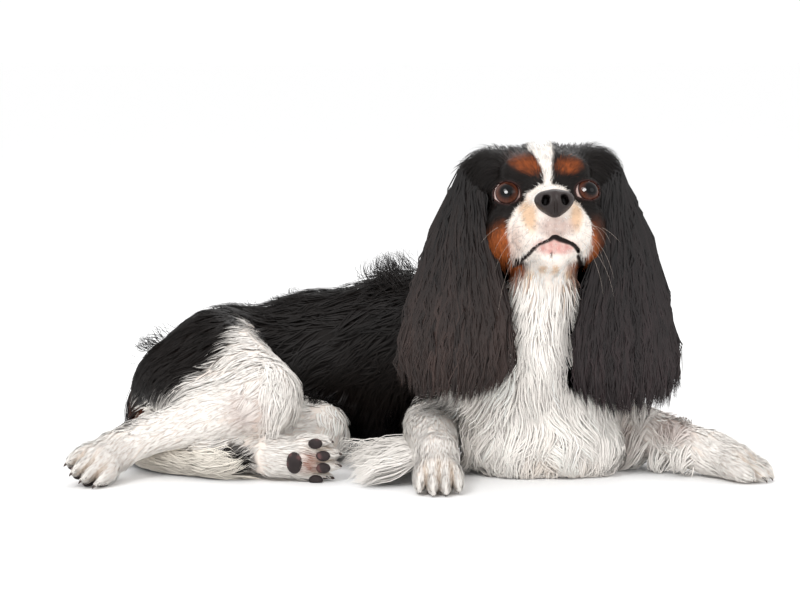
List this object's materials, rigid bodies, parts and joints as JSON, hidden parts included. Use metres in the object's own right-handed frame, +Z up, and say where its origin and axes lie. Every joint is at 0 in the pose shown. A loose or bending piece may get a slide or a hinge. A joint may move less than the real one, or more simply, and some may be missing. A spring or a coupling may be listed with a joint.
{
  "type": "dog",
  "caption": "Life-size toy spaniel lying down with its head raised, long silky ears, black, white and tan coat, one foreleg stretched out.",
  "frame": {"origin": "on the floor under the middle of the dog's bounding box", "axes": "+X towards the stretched foreleg, along the dog's length as it lies; -Y the side that the chest and face turn to; +Z up"},
  "size_m": [0.5364, 0.279, 0.2519],
  "materials": {
    "black_coat": "long silky black coat with a soft sheen",
    "claw_horn": "dark horn of the claws, smooth",
    "cream_coat": "long cream-white plume",
    "ear_coat": "long wavy black hair turning dark brown towards the tips, glossy",
    "eye": "dark brown eye with a wet, clear surface",
    "nose_leather": "black-brown nose leather, fine-grained and slightly damp",
    "white_coat": "long silky white coat, soft and matte"
  },
  "bodies": {
    "root": {"chest": "white_coat", "claw_forepaw_left_1": "claw_horn", "claw_forepaw_left_2": "claw_horn", "claw_forepaw_left_3": "claw_horn", "claw_forepaw_left_4": "claw_horn", "claw_forepaw_right_1": "claw_horn", "claw_forepaw_right_2": "claw_horn", "claw_forepaw_right_3": "claw_horn", "claw_forepaw_right_4": "claw_horn", "claw_hindpaw_left_1": "claw_horn", "claw_hindpaw_left_2": "claw_horn", "claw_hindpaw_left_3": "claw_horn", "claw_hindpaw_left_4": "claw_horn", "claw_hindpaw_right_1": "claw_horn", "claw_hindpaw_right_2": "claw_horn", "claw_hindpaw_right_3": "claw_horn", "claw_hindpaw_right_4": "claw_horn", "ear_left": "ear_coat", "ear_right": "ear_coat", "eye_left": "eye", "eye_right": "eye", "foreleg_left": "white_coat", "foreleg_right": "white_coat", "forepaw_left": "white_coat", "forepaw_right": "white_coat", "head": "black_coat", "hindpaw_left": "white_coat", "hindpaw_right": "white_coat", "neck": "white_coat", "nose": "nose_leather", "shin_left": "white_coat", "shin_right": "white_coat", "tail": "cream_coat", "thigh_left": "white_coat", "thigh_right": "black_coat", "torso": "black_coat"}
  },
  "joints": []
}
